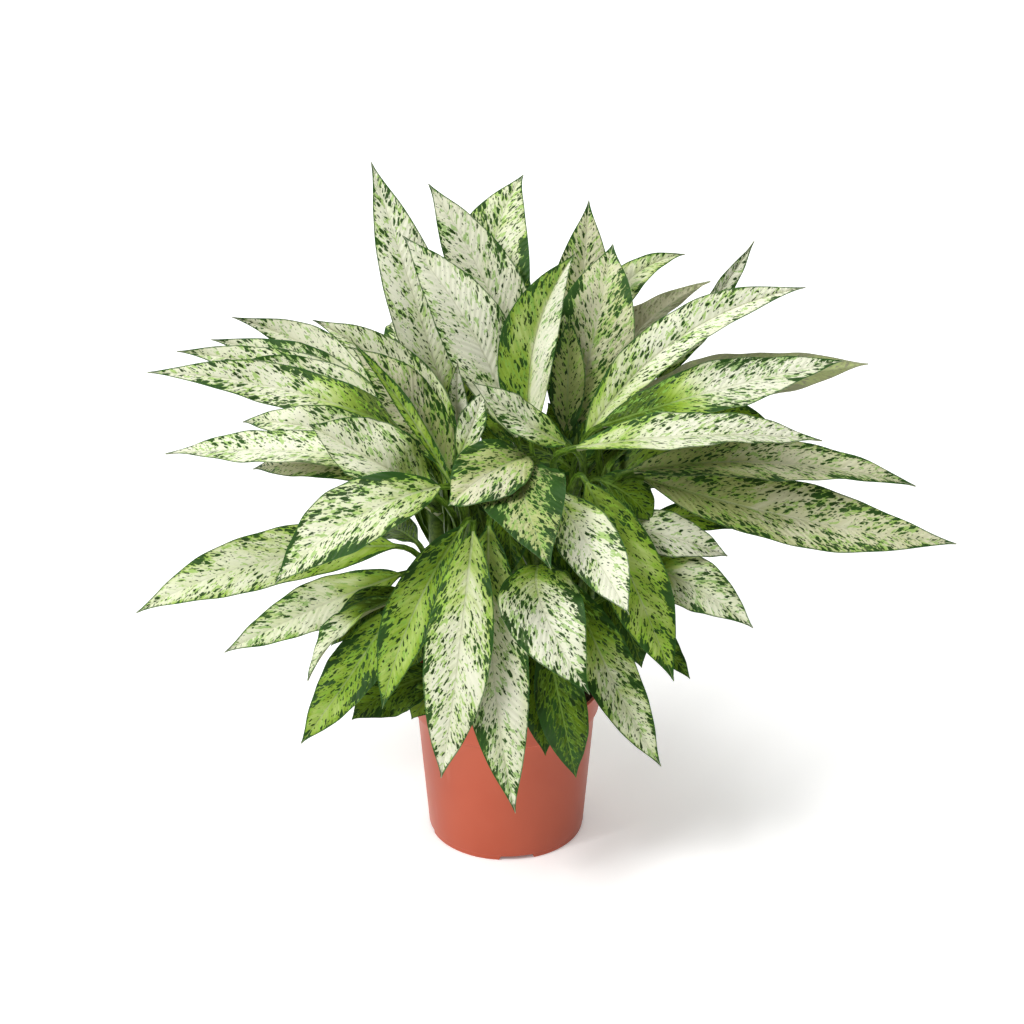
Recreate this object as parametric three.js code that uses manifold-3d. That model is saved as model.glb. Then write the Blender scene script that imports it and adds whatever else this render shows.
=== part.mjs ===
// A potted dieffenbachia: a plastic nursery pot, its soil, seven canes and their long flecked leaves.
// Millimetres, +Z up. The origin is on the table under the pot's middle; the plant's front faces -Y.
import * as THREE from "three";
import { mergeVertices } from "three/addons/utils/BufferGeometryUtils.js";
import Module from "manifold-3d";

const wasm = await Module();
wasm.setup();

// ---- driving dimensions ---------------------------------------------------------------------

const POT = {
  segments: 36,
  height: 162,
  rimRadius: 95,
  rimBand: 27,
  shoulderRadius: 89,
  footRadius: 77,
  wall: 2.2,
  footHeight: 5,
  footWidth: 4,
  padRadius: 14,
  bevel: 1.5,
};
const NOTCH = { count: 4, width: 33, firstAngle: -82, reach: 12, height: 4.7 };
const SOIL = { top: 142, mound: 5, lumps: 2, holeDepth: 56, segments: 18 };
const SEAT_GAP = 0.3;
const SLIVER = 0.05;

const CANE = {
  radius: 9,
  crownRadius: 10,
  scarSpacing: 22,
  scarRun: 3,
  crownLength: 190,
  spearLength: 50,
  spearRadius: 5,
  spearTip: 0.8,
  sides: 8,
};
const PETIOLE = {
  rootHalf: 4.6,
  footHalf: 2.8,
  thickness: 5,
  fold: 25,
  spacing: 15,
  drop: 80,
  sector: 55,
  bend: 0.4,
  rise: 0.7,
  belowTop: 6,
  aboveSoil: 14,
  gutterUnder: 0.55,
  gutterInset: 0.6,
};
const BLADE = {
  thickness: 0.8,
  ribAtFoot: 4.2,
  ribAtTip: 1.3,
  wave: 2.6,
  waves: 2.1,
  phaseStep: 1.7,
  tipHalf: 0.5,
  rollShare: 0.77,
  foldShare: 0.125,
};
const BLADE_STEPS = [0, 0.08, 0.2, 0.34, 0.48, 0.62, 0.76, 0.89, 1];
const PETIOLE_STEPS = 3;
// Where leaves cross, as seen from in front and this far above, they lie in layers this far apart.
const LAYERS = { tilt: 25, cell: 3, gap: 7, rounds: 800, stiffness: 0.12, sure: 20 };

// Each cane leans from its foot in the soil to its top, where its youngest leaf is still rolled.
const CANES = {
  a: { foot: [-36, 4], top: [-45, -1, 365] },
  b: { foot: [-4, 48], top: [2, 50, 370] },
  c: { foot: [42, 36], top: [64, 34, 360] },
  d: { foot: [58, -14], top: [88, -9, 345] },
  e: { foot: [-46, -38], top: [-52, -42, 300] },
  f: { foot: [28, -46], top: [34, -36, 340] },
  g: { foot: [-54, 40], top: [-71, 46, 370] },
};

// Leaves from the back of the plant to its front. Each has its cane, the foot and tip of its blade,
// how far the midrib bows up from the straight line between them, its width, its roll about the
// midrib in degrees, the fold of each half in degrees, and how far it bows sideways.
// A "young" leaf stays one piece with its cane.
const LEAVES = [
  ["b", [-60, 90, 385], [-190, 285, 330], 40, 66, 0, 12, 0],
  ["b", [-5, 105, 370], [-20, 330, 290], 45, 70, 0, 12, 0],
  ["c", [75, 95, 385], [175, 285, 330], 40, 68, 0, 12, 0],
  ["b", [0, 85, 430], [-15, 225, 560], 25, 62, 0, 12, 0],
  ["b", [-35, 110, 300], [-70, 270, 165], 30, 58, 0, 12, 0],
  ["c", [40, 118, 300], [95, 265, 170], 30, 58, 0, 12, 0],
  ["g", [-110, 75, 360], [-180, 210, 325], 30, 58, 0, 12, 0],
  ["d", [120, 60, 360], [230, 215, 325], 30, 60, 0, 12, 0],
  ["g", [-80, 90, 425], [-105, 200, 470], 20, 58, 0, 12, 0, "young"],
  ["c", [60, 80, 425], [110, 215, 490], 20, 58, 0, 12, 0, "young"],
  ["d", [112, 62, 392], [75, 22, 335], 4, 44, 0, 10, 0, "young"],
  ["b", [0, 60, 435], [17, 180, 622], 38, 82, 0, 10, -20],
  ["d", [145, 70, 445], [240, 130, 570], 0, 30, 50, 20, 0, "young"],
  ["c", [85, 85, 453], [175, 150, 551], 38, 36, 0, 15, 0],
  ["c", [56, 72, 400], [79, 115, 616], 0, 68, 0, 12, 3],
  ["b", [20, 30, 435], [-73, 100, 637], 10, 70, 0, 12, 7],
  ["a", [-47, 20, 420], [-124, 60, 670], 6, 60, 0, 12, -9],
  ["g", [-100, 45, 420], [-265, 110, 500], 18, 46, 0, 15, 0],
  ["g", [-100, 35, 415], [-285, 90, 485], 16, 44, 0, 15, 0],
  ["g", [-95, 20, 425], [-315, 70, 480], 16, 44, 0, 15, 0],
  ["g", [-100, 18, 422], [-265, 50, 475], 16, 44, 0, 15, 0, "young"],
  ["a", [-75, -10, 420], [-340, 40, 470], 18, 48, 0, 15, 0],
  ["a", [-80, 10, 390], [-255, 60, 411], 10, 46, 0, 15, 0, "young"],
  ["a", [-80, 10, 380], [-245, 40, 370], 6, 40, 0, 15, 0, "young"],
  ["a", [-80, -10, 395], [-325, 20, 395], 8, 50, 20, 12, 0],
  ["c", [66, 16, 378], [0, 26, 405], 6, 46, 0, 12, 0, "young"],
  ["c", [90, 10, 435], [190, 30, 565], 30, 56, -115, 10, 0],
  ["d", [110, 30, 450], [345, 50, 475], 2, 60, -115, 12, 0],
  ["c", [63, 52, 395], [102, 140, 559], 10, 84, 0, 10, 4],
  ["c", [75, -8, 421], [280, 40, 555], 32, 50, 0, 25, 0],
  ["d", [110, 14, 398], [275, 70, 385], 28, 54, 0, 12, 0, "young"],
  ["d", [90, 5, 429], [318, 30, 486], 4, 60, -12, 12, 0],
  ["b", [10, 30, 400], [-15, 15, 470], 4, 50, 0, 12, 0, "young"],
  ["b", [10, 0, 420], [-95, 50, 600], 14, 68, 0, 12, 2],
  ["c", [24, 0, 415], [64, 30, 591], 0, 70, 0, 24, -27],
  ["d", [100, 30, 365], [195, 120, 330], 10, 56, 0, 10, 0, "young"],
  ["d", [155, 30, 370], [175, 60, 265], 20, 40, 0, 10, 0, "young"],
  ["d", [135, 0, 335], [285, 20, 326], 4, 36, 0, 10, 0],
  ["d", [130, -20, 386], [425, -40, 328], -8, 68, 0, 10, 0],
  ["d", [120, 0, 385], [390, 0, 370], 16, 60, -20, 12, 0],
  ["c", [65, -50, 430], [292, -45, 436], 8, 54, -22, 20, 0],
  ["a", [-44, -8, 408], [-44, -20, 503], 0, 26, 0, 30, 2, "young"],
  ["a", [-58, -24, 378], [-180, 20, 530], 32, 72, 0, 45, 0],
  ["a", [-52, -42, 404], [-141, -30, 522], 10, 54, 0, 12, 3],
  ["a", [-50, -62, 398], [-139, -46, 534], 2, 15, 0, 20, 8, "young"],
  ["b", [-43, -25, 410], [-20, -45, 486], 0, 30, 0, 25, -3, "young"],
  ["a", [-70, -57, 388], [-180, -53, 455], 0, 76, 0, 28, 0],
  ["c", [55, -30, 425], [-30, -60, 500], -4, 38, 0, 15, 0],
  ["e", [-85, -10, 315], [-130, 90, 280], 8, 34, 0, 10, 0, "young"],
  ["a", [-62, -18, 350], [-105, 30, 335], 8, 34, 0, 10, 0, "young"],
  ["e", [-105, -40, 325], [-350, -60, 265], 20, 62, 0, 10, 0],
  ["a", [-60, -60, 395], [-210, -130, 330], 16, 66, 0, 12, 0],
  ["e", [-100, -60, 305], [-260, -120, 255], 4, 52, 0, 12, 0],
  ["e", [-100, -40, 280], [-165, -80, 240], 8, 36, 0, 12, 0, "young"],
  ["e", [-66, -72, 205], [-146, -100, 172], 8, 56, 0, 10, 0],
  ["e", [-105, -70, 285], [-185, -120, 225], 16, 36, 40, 20, 0],
  ["e", [-105, -80, 280], [-190, -150, 175], 0, 50, 0, 12, -3],
  ["f", [115, -55, 270], [175, -80, 205], 2, 30, 0, 10, 0, "young"],
  ["f", [24, -105, 255], [37, -148, 160], 8, 40, 0, 10, 0, "young"],
  ["f", [38, -100, 258], [66, -142, 133], 8, 48, 0, 10, 5],
  ["d", [105, -50, 315], [230, -100, 270], 12, 56, 0, 10, 0],
  ["d", [95, -20, 335], [210, -40, 315], 6, 46, 0, 10, 0],
  ["f", [60, -75, 305], [145, -150, 150], 8, 52, 0, 10, 14],
  ["f", [75, -50, 395], [155, -140, 235], 4, 64, 0, 10, 0],
  ["f", [2, -45, 372], [5, -90, 320], 8, 34, 0, 10, 0, "young"],
  ["f", [-16, -78, 364], [9, -182, 119], 28, 64, 0, 12, 14],
  ["f", [45, -60, 390], [110, -180, 325], 2, 58, 0, 10, 0],
  ["f", [30, -50, 310], [75, -210, 260], 24, 76, 0, 8, 20],
  ["f", [22, -52, 412], [40, -190, 375], 28, 84, 0, 10, 16],
  ["f", [20, -42, 418], [-52, -110, 399], 6, 66, 0, 16, 0],
  ["e", [-40, -76, 362], [-115, -130, 200], 12, 50, 0, 15, 0],
  ["e", [-30, -94, 366], [-60, -166, 147], 30, 62, 0, 8, -14],
];

const COLOURS = { pot: 0xb9543c, soil: 0x3a2a20, cane: 0x6f8f3c, leaf: 0xc9d6a4 };

// ---- small tools ----------------------------------------------------------------------------

const UP = new THREE.Vector3(0, 0, 1);
// Leaves turn their upper faces to the light, which comes from in front and above.
const LIGHT = new THREE.Vector3(0, -0.64, 0.77);
const degrees = (angle) => THREE.MathUtils.degToRad(angle);
const point = (list) => new THREE.Vector3(...list);
const along = (a, b, share) => a.clone().lerp(b, share);
const plus = (a, direction, length) => a.clone().addScaledVector(direction, length);
const across = (v, normal) => plus(v, normal, -v.dot(normal)).normalize();

// A closed surface from rings of points. Ring point k joins k + 1; where slants[k] is true the
// quad between them is split along its other diagonal, so both faces of a thin blade fold alike.
function loft(rings, slants = []) {
  const sides = rings[0].length;
  const corners = rings.flat().flatMap((p) => [p.x, p.y, p.z]);
  const triangles = [];
  for (let i = 0; i + 1 < rings.length; i++) {
    for (let k = 0; k < sides; k++) {
      const a = i * sides + k;
      const b = i * sides + ((k + 1) % sides);
      const c = b + sides;
      const d = a + sides;
      triangles.push(...(slants[k] ? [a, b, d, b, c, d] : [a, b, c, a, c, d]));
    }
  }
  const last = (rings.length - 1) * sides;
  const bottom = Math.floor(sides / 2);
  for (let k = 0; k + 1 < bottom; k++) {
    // the caps are strips between the two halves of a ring
    const strip = [k, k + 1, sides - 2 - k, sides - 1 - k];
    triangles.push(strip[0], strip[2], strip[1], strip[0], strip[3], strip[2]);
    const end = strip.map((index) => index + last);
    triangles.push(end[0], end[1], end[2], end[0], end[2], end[3]);
  }
  const solid = new wasm.Manifold(
    new wasm.Mesh({
      numProp: 3,
      vertProperties: new Float32Array(corners),
      triVerts: new Uint32Array(triangles),
    }),
  );
  if (solid.volume() > 0) return solid;
  for (let i = 0; i < triangles.length; i += 3) {
    [triangles[i + 1], triangles[i + 2]] = [triangles[i + 2], triangles[i + 1]];
  }
  return new wasm.Manifold(
    new wasm.Mesh({
      numProp: 3,
      vertProperties: new Float32Array(corners),
      triVerts: new Uint32Array(triangles),
    }),
  );
}

function solidOf(geometry) {
  const bare = geometry.clone();
  bare.deleteAttribute("normal");
  bare.deleteAttribute("uv");
  const merged = mergeVertices(bare, 1e-4);
  return new wasm.Manifold(
    new wasm.Mesh({
      numProp: 3,
      vertProperties: merged.attributes.position.array,
      triVerts: new Uint32Array(merged.index.array),
    }),
  );
}

// Petioles that cross beside a cane can enclose a pocket of air, which is filled, and leave
// slivers along their joins, which are merged.
function withoutPockets(solid) {
  const shells = solid.decompose().filter((shell) => shell.volume() > 0);
  if (shells.length !== 1) throw new Error("a cane is in " + shells.length + " pieces");
  return shells[0].simplify(SLIVER);
}

function meshOf(name, solid, colour, roughness) {
  const data = solid.getMesh();
  const geometry = new THREE.BufferGeometry();
  geometry.setAttribute("position", new THREE.BufferAttribute(data.vertProperties, 3));
  geometry.setIndex(new THREE.BufferAttribute(data.triVerts, 1));
  geometry.computeVertexNormals();
  const material = new THREE.MeshStandardMaterial({ color: colour, roughness, metalness: 0 });
  const mesh = new THREE.Mesh(geometry, material);
  mesh.name = name;
  return mesh;
}

// ---- canes ----------------------------------------------------------------------------------

const caneFoot = (cane) => new THREE.Vector3(...cane.foot, SOIL.top - SOIL.holeDepth + 2);

function caneAxis(cane, z) {
  const foot = caneFoot(cane);
  const top = point(cane.top);
  return along(foot, top, (z - foot.z) / (top.z - foot.z));
}

// A cane is ringed by leaf scars, swells where its leaves sit, and ends in a leaf still rolled up.
function caneRings(cane, extra = 0) {
  const foot = caneFoot(cane);
  const top = point(cane.top);
  const length = foot.distanceTo(top);
  const direction = top.clone().sub(foot).normalize();
  const bare = length - CANE.crownLength;
  const sections = [[-extra, CANE.radius]];
  for (let s = CANE.scarSpacing; s < bare; s += CANE.scarSpacing) {
    sections.push([s - CANE.scarRun, CANE.radius], [s, CANE.crownRadius]);
  }
  sections.push([bare + CANE.scarSpacing, CANE.crownRadius], [length, CANE.crownRadius]);
  sections.push([length + CANE.spearLength / 4, CANE.spearRadius]);
  sections.push([length + CANE.spearLength + extra, CANE.spearTip]);
  const sideways = across(new THREE.Vector3(1, 0, 0), direction);
  const forwards = direction.clone().cross(sideways);
  return sections.map(([s, radius]) => {
    const centre = plus(foot, direction, s);
    return Array.from({ length: CANE.sides }, (_, k) => {
      const angle = (2 * Math.PI * k) / CANE.sides;
      const reach = radius + extra;
      return plus(plus(centre, sideways, reach * Math.cos(angle)), forwards, reach * Math.sin(angle));
    });
  });
}

// ---- leaves ---------------------------------------------------------------------------------

// Half the blade's width at a share of its length: widest before the middle, drawn out at the tip.
function bladeHalf(share, width) {
  if (share <= 0 || share >= 1) return 0;
  return (width / 2) * Math.sin(Math.PI * share ** 0.88) ** (0.78 + 0.25 * share * share);
}

function readLeaf(row, index) {
  const [caneName, foot, tip, bow, width, roll, fold, sweep, age] = row;
  const leaf = { index, caneName, bow, width, roll, fold, sweep, young: age === "young" };
  leaf.cane = CANES[caneName];
  leaf.foot = point(foot);
  leaf.tip = point(tip);
  return leaf;
}

// Petioles leave their cane towards their blades, one above another on each side of it.
function placeRoots(leaves) {
  for (const cane of Object.values(CANES)) {
    const placed = [];
    const own = leaves.filter((leaf) => leaf.cane === cane).sort((p, q) => q.foot.z - p.foot.z);
    for (const leaf of own) {
      const lowest = SOIL.top + PETIOLE.aboveSoil;
      const highest = cane.top[2] - PETIOLE.belowTop;
      let height = Math.min(Math.max(leaf.foot.z - PETIOLE.drop, lowest), highest);
      let out = across(leaf.foot.clone().sub(caneAxis(cane, height)), UP);
      const crowded = (other) =>
        Math.abs(other.height - height) < PETIOLE.spacing &&
        out.angleTo(other.out) < degrees(PETIOLE.sector);
      while (placed.some(crowded)) height -= 3;
      out = across(leaf.foot.clone().sub(caneAxis(cane, height)), UP);
      placed.push({ height, out });
      leaf.out = out;
      leaf.root = caneAxis(cane, height);
    }
  }
}

// The leaf's stations from root to tip: share of the blade (negative on the petiole), midrib
// point, direction, and the way the upper face looks.
function stations(leaf) {
  const chord = leaf.tip.clone().sub(leaf.foot).normalize();
  const rise = across(UP, chord);
  const side = chord.clone().cross(rise);
  const middle = plus(plus(along(leaf.foot, leaf.tip, 0.5), rise, 2 * leaf.bow), side, 2 * leaf.sweep);
  const blade = new THREE.QuadraticBezierCurve3(leaf.foot, middle, leaf.tip);
  const reach = leaf.root.distanceTo(leaf.foot) * PETIOLE.bend;
  const leave = plus(plus(leaf.root, UP, reach * PETIOLE.rise), leaf.out, reach * PETIOLE.rise);
  const arrive = plus(leaf.foot, blade.getTangent(0), -reach);
  const petiole = new THREE.CubicBezierCurve3(leaf.root, leave, arrive, leaf.foot);
  const line = [];
  for (let i = 0; i < PETIOLE_STEPS; i++) {
    const share = i / PETIOLE_STEPS;
    line.push({ share: share - 1, at: petiole.getPoint(share), tangent: petiole.getTangent(share) });
  }
  for (const share of BLADE_STEPS) {
    line.push({ share, at: blade.getPoint(share), tangent: blade.getTangent(share) });
  }
  const centre = PETIOLE_STEPS + Math.floor(BLADE_STEPS.length / 2);
  line[centre].facing = across(LIGHT, line[centre].tangent);
  for (let i = centre + 1; i < line.length; i++) {
    line[i].facing = across(line[i - 1].facing, line[i].tangent);
  }
  for (let i = centre - 1; i >= 0; i--) {
    line[i].facing = across(line[i + 1].facing, line[i].tangent);
  }
  return line;
}

// Six points round the leaf at a station: left edge, midrib and right edge above, then below.
function ring(leaf, station) {
  const { share, at, tangent } = station;
  const inBlade = share > 0;
  const rolled = degrees(leaf.roll) * Math.min(1, (share + 1) * BLADE.rollShare);
  const sideways = station.facing.clone().applyAxisAngle(tangent, rolled).cross(tangent).negate();
  const facing = tangent.clone().cross(sideways).negate();
  const stem = THREE.MathUtils.lerp(PETIOLE.footHalf, PETIOLE.rootHalf, Math.min(1, Math.max(0, -share)));
  const half = inBlade
    ? Math.max(bladeHalf(share, leaf.width), stem * (1 - share), BLADE.tipHalf)
    : stem;
  const fold = degrees(inBlade ? leaf.fold * Math.min(1, share / BLADE.foldShare) : PETIOLE.fold);
  const under = inBlade ? BLADE.thickness / Math.cos(fold) : PETIOLE.thickness * PETIOLE.gutterUnder;
  const ribDepth = inBlade
    ? THREE.MathUtils.lerp(BLADE.ribAtFoot, BLADE.ribAtTip, share)
    : PETIOLE.thickness;
  const inset = inBlade ? 1 : PETIOLE.gutterInset;
  const wave = inBlade ? BLADE.wave * Math.sin(Math.PI * share) : 0;
  const edge = (way) => {
    const phase = leaf.index * BLADE.phaseStep + way;
    const ripple = wave * Math.sin(2 * Math.PI * BLADE.waves * share + phase);
    return plus(plus(at, sideways, way * half * Math.cos(fold)), facing, half * Math.sin(fold) + ripple);
  };
  const lower = (way) => {
    const top = edge(way);
    return plus(plus(top, sideways, -way * half * Math.cos(fold) * (1 - inset)), facing, -under);
  };
  return [edge(-1), at.clone(), edge(1), lower(1), plus(at, facing, -ribDepth), lower(-1)];
}

const SPLITS = [false, true, false, false, true, false];

// A petiole is one piece with its cane, and the blade is seated on its end.
function leafPieces(leaf) {
  const petiole = leaf.rings.slice(0, PETIOLE_STEPS + 1);
  const blade = leaf.rings.slice(PETIOLE_STEPS);
  const middle = (corners) => along(corners[1], corners[4], 0.5);
  const onward = middle(blade[1]).sub(middle(blade[0])).normalize();
  blade[0] = blade[0].map((corner) => plus(corner, onward, SEAT_GAP));
  return { petiole: loft(petiole, SPLITS), blade: loft(blade, SPLITS) };
}

// ---- layers ---------------------------------------------------------------------------------

// Bends leaves clear of each other. Seen from in front and above, a later leaf lies nearer than
// an earlier one, and a cane lies where its own depth puts it. Each station of a leaf moves only
// along the line of sight; its root stays on the cane.
function layLeaves(leaves, canes) {
  const tilt = degrees(LAYERS.tilt);
  const sight = new THREE.Vector3(0, Math.cos(tilt), -Math.sin(tilt));
  const upward = new THREE.Vector3(0, Math.sin(tilt), Math.cos(tilt));
  const bodies = [...leaves, ...canes];
  const cells = new Map();
  bodies.forEach((body, owner) => {
    const { rings } = body;
    for (let i = 0; i + 1 < rings.length; i++) {
      for (let k = 0; k < rings[0].length; k++) {
        const next = (k + 1) % rings[0].length;
        const quad = [rings[i][k], rings[i][next], rings[i + 1][next], rings[i + 1][k]];
        sampleQuad(quad, (p) => {
          const column = Math.floor(p.x / LAYERS.cell);
          const row = Math.floor(p.dot(upward) / LAYERS.cell);
          const key = column * 4096 + row;
          if (!cells.has(key)) cells.set(key, new Map());
          const cell = cells.get(key);
          const part = owner * 64 + i;
          const depth = p.dot(sight);
          const span = cell.get(part) ?? [Infinity, -Infinity];
          cell.set(part, [Math.min(span[0], depth), Math.max(span[1], depth)]);
        });
      }
    }
  });
  // a rule says how much deeper part "far" must lie than part "near"
  const isStem = (part) => bodies[part >> 6].isCane || (part & 63) < PETIOLE_STEPS;
  const rules = new Map();
  const stances = new Map();
  for (const cell of cells.values()) {
    const parts = [...cell];
    for (let a = 0; a < parts.length; a++) {
      for (let b = a + 1; b < parts.length; b++) {
        const [far, near] = parts[a][0] < parts[b][0] ? [parts[a], parts[b]] : [parts[b], parts[a]];
        const stems = Number(isStem(far[0])) + 2 * Number(isStem(near[0]));
        const [one, two] = [bodies[far[0] >> 6], bodies[near[0] >> 6]];
        if (one === two || (stems === 3 && (one.cane === two.cane || (one.isCane && two.isCane)))) continue;
        const key = far[0] * 16384 + near[0];
        const rule = rules.get(key) ?? { far: far[0], near: near[0], short: -Infinity, back: -Infinity };
        rule.short = Math.max(rule.short, near[1][1] - far[1][0]);
        rule.back = Math.max(rule.back, far[1][1] - near[1][0]);
        rules.set(key, rule);
        if (stems === 0) continue;
        rule.group = ((far[0] >> 6) * 256 + (near[0] >> 6)) * 4 + stems;
        const stance = stances.get(rule.group) ?? { lead: 0, cells: 0 };
        stance.lead += (near[1][0] + near[1][1] - far[1][0] - far[1][1]) / 2;
        stance.cells += 1;
        stances.set(rule.group, stance);
      }
    }
  }
  // a stem and what crosses it keep the order of their own depths where those are far apart
  const list = [...rules.values()].map((rule) => {
    const stance = stances.get(rule.group);
    const free = bodies[rule.near >> 6].isCane ? 0 : LAYERS.sure;
    return stance && stance.lead / stance.cells > free
      ? { far: rule.near, near: rule.far, short: rule.back + LAYERS.gap }
      : { far: rule.far, near: rule.near, short: rule.short + LAYERS.gap };
  });
  const shifts = bodies.map((body) => body.rings.map(() => 0));
  for (let round = 0; round < LAYERS.rounds; round++) {
    const pushes = bodies.map((body) => body.rings.map(() => [0, 0]));
    for (const { far, near, short } of list) {
      const [f, i, n, j] = [far >> 6, far & 63, near >> 6, near & 63];
      const lag = short + (shifts[n][j] + shifts[n][j + 1] - shifts[f][i] - shifts[f][i + 1]) / 2;
      if (lag <= 0) continue;
      const fixed = bodies[f].isCane || bodies[n].isCane;
      const push = fixed ? lag : lag / 2;
      for (const spot of [i, i + 1]) pushes[f][spot][0] = Math.max(pushes[f][spot][0], push);
      for (const spot of [j, j + 1]) pushes[n][spot][1] = Math.max(pushes[n][spot][1], push);
    }
    leaves.forEach((leaf, owner) => {
      const shift = shifts[owner];
      for (let k = 1; k < shift.length; k++) {
        shift[k] += 0.5 * (pushes[owner][k][0] - pushes[owner][k][1]);
      }
      const before = [...shift];
      for (let k = 1; k + 1 < shift.length; k++) {
        shift[k] += LAYERS.stiffness * (before[k - 1] + before[k + 1] - 2 * before[k]);
      }
    });
  }
  leaves.forEach((leaf, owner) => {
    leaf.rings.forEach((corners, k) => {
      for (const corner of corners) corner.addScaledVector(sight, shifts[owner][k]);
    });
  });
}

// Calls visit with points spread over a quad, no further apart than a layer cell.
function sampleQuad([a, b, c, d], visit) {
  const wide = Math.ceil(Math.max(a.distanceTo(b), c.distanceTo(d)) / (LAYERS.cell * 0.8)) || 1;
  const long = Math.ceil(Math.max(a.distanceTo(d), b.distanceTo(c)) / (LAYERS.cell * 0.8)) || 1;
  for (let i = 0; i <= long; i++) {
    const left = along(a, d, i / long);
    const right = along(b, c, i / long);
    for (let k = 0; k <= wide; k++) visit(along(left, right, k / wide));
  }
}

// ---- pot and soil ---------------------------------------------------------------------------

function potSolid() {
  const { segments, height, rimRadius, rimBand, shoulderRadius, footRadius, wall } = POT;
  const { footHeight, footWidth, padRadius, bevel } = POT;
  const bandFoot = height - rimBand;
  // the pot stands on its foot ring and on a pad under the middle of its floor
  const outline = [
    [0, 0],
    [padRadius, 0],
    [padRadius, footHeight],
    [footRadius - footWidth, footHeight],
    [footRadius - footWidth, 0],
    [footRadius - bevel, 0],
    [footRadius, bevel],
    [footRadius + 0.6, footHeight + 1],
    [shoulderRadius - 1, bandFoot - 3],
    [shoulderRadius + 2.5, bandFoot],
    [rimRadius - 1, height - 3],
    [rimRadius, height - 1],
    [rimRadius - 1.5, height],
    [rimRadius - 1 - wall, height],
    [rimRadius - 1.6 - wall, height - 3],
    [shoulderRadius + 1.5 - wall, bandFoot],
    [shoulderRadius - 1.5 - wall, bandFoot - 3],
    [footRadius - wall + 0.6, footHeight + wall],
    [0, footHeight + wall],
  ];
  const profile = outline.map(([r, z]) => new THREE.Vector2(r, z));
  let pot = solidOf(new THREE.LatheGeometry(profile, segments).rotateX(Math.PI / 2));
  if (pot.volume() < 0) throw new Error("the pot's profile runs the wrong way");
  for (let k = 0; k < NOTCH.count; k++) {
    const angle = degrees(NOTCH.firstAngle + (360 / NOTCH.count) * k);
    const block = new THREE.BoxGeometry(NOTCH.reach, NOTCH.width, 2 * NOTCH.height);
    block.translate(footRadius - footWidth, 0, 0).rotateZ(angle);
    pot = pot.subtract(solidOf(block));
  }
  return pot;
}

function soilSolid() {
  const { rimBand, height, shoulderRadius, footRadius, wall, footHeight } = POT;
  const base = footHeight + wall + SEAT_GAP;
  const shoulder = height - rimBand - 3;
  const inner = shoulderRadius - 1.5 - wall - SEAT_GAP;
  const outline = [
    [0, base],
    [footRadius - wall - SEAT_GAP, base],
    [inner, shoulder],
    [inner + 2, SOIL.top - 2],
    [inner * 0.75, SOIL.top + SOIL.mound * 0.5],
    [inner * 0.4, SOIL.top + SOIL.mound],
    [0, SOIL.top + SOIL.mound],
  ];
  const profile = outline.map(([r, z]) => new THREE.Vector2(r, z));
  const geometry = new THREE.LatheGeometry(profile, SOIL.segments).rotateX(Math.PI / 2);
  const places = geometry.attributes.position;
  for (let i = 0; i < places.count; i++) {
    const [x, y, z] = [places.getX(i), places.getY(i), places.getZ(i)];
    if (z < SOIL.top) continue;
    places.setZ(i, z + SOIL.lumps * Math.sin(x * 0.13 + 1) * Math.cos(y * 0.17));
  }
  return solidOf(geometry);
}

// ---- assembly -------------------------------------------------------------------------------

const plant = new THREE.Group();
const leaves = LEAVES.map(readLeaf);
placeRoots(leaves);
for (const leaf of leaves) leaf.rings = stations(leaf).map((station) => ring(leaf, station));
const canes = Object.values(CANES).map((cane) => ({ cane, rings: caneRings(cane), isCane: true }));
layLeaves(leaves, canes);

plant.add(meshOf("pot", potSolid(), COLOURS.pot, 0.45));
let soil = soilSolid();
for (const [name, cane] of Object.entries(CANES)) {
  let stem = loft(caneRings(cane));
  soil = soil.subtract(loft(caneRings(cane, SEAT_GAP)));
  let number = 0;
  for (const leaf of leaves.filter((each) => each.cane === cane)) {
    if (leaf.young) {
      stem = stem.add(loft(leaf.rings, SPLITS));
      continue;
    }
    const { petiole, blade } = leafPieces(leaf);
    number += 1;
    stem = stem.add(petiole);
    plant.add(meshOf(`leaf_${name}${number}`, blade, COLOURS.leaf, 0.4));
  }
  plant.add(meshOf(`cane_${name}`, withoutPockets(stem), COLOURS.cane, 0.5));
}
plant.add(meshOf("soil", soil, COLOURS.soil, 0.95));

export default plant;
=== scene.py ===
"""The looks of a potted dieffenbachia: nursery pot, soil, canes and flecked leaves."""

import math
import random

import bpy
import numpy as np
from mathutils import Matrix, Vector


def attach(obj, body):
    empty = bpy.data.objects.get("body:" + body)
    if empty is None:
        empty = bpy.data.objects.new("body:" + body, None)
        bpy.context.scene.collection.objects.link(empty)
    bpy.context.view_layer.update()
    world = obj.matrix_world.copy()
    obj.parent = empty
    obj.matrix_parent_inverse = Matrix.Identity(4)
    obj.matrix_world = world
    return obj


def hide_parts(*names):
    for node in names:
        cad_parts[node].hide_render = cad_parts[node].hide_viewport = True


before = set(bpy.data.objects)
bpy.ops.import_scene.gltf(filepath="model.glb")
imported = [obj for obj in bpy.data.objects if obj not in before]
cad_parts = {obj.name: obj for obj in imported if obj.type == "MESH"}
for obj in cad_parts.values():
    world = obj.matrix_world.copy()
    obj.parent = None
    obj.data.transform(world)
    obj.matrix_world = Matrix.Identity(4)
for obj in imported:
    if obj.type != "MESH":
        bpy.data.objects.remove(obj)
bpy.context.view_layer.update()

# ---- driving dimensions, in millimetres -------------------------------------------------

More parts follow.
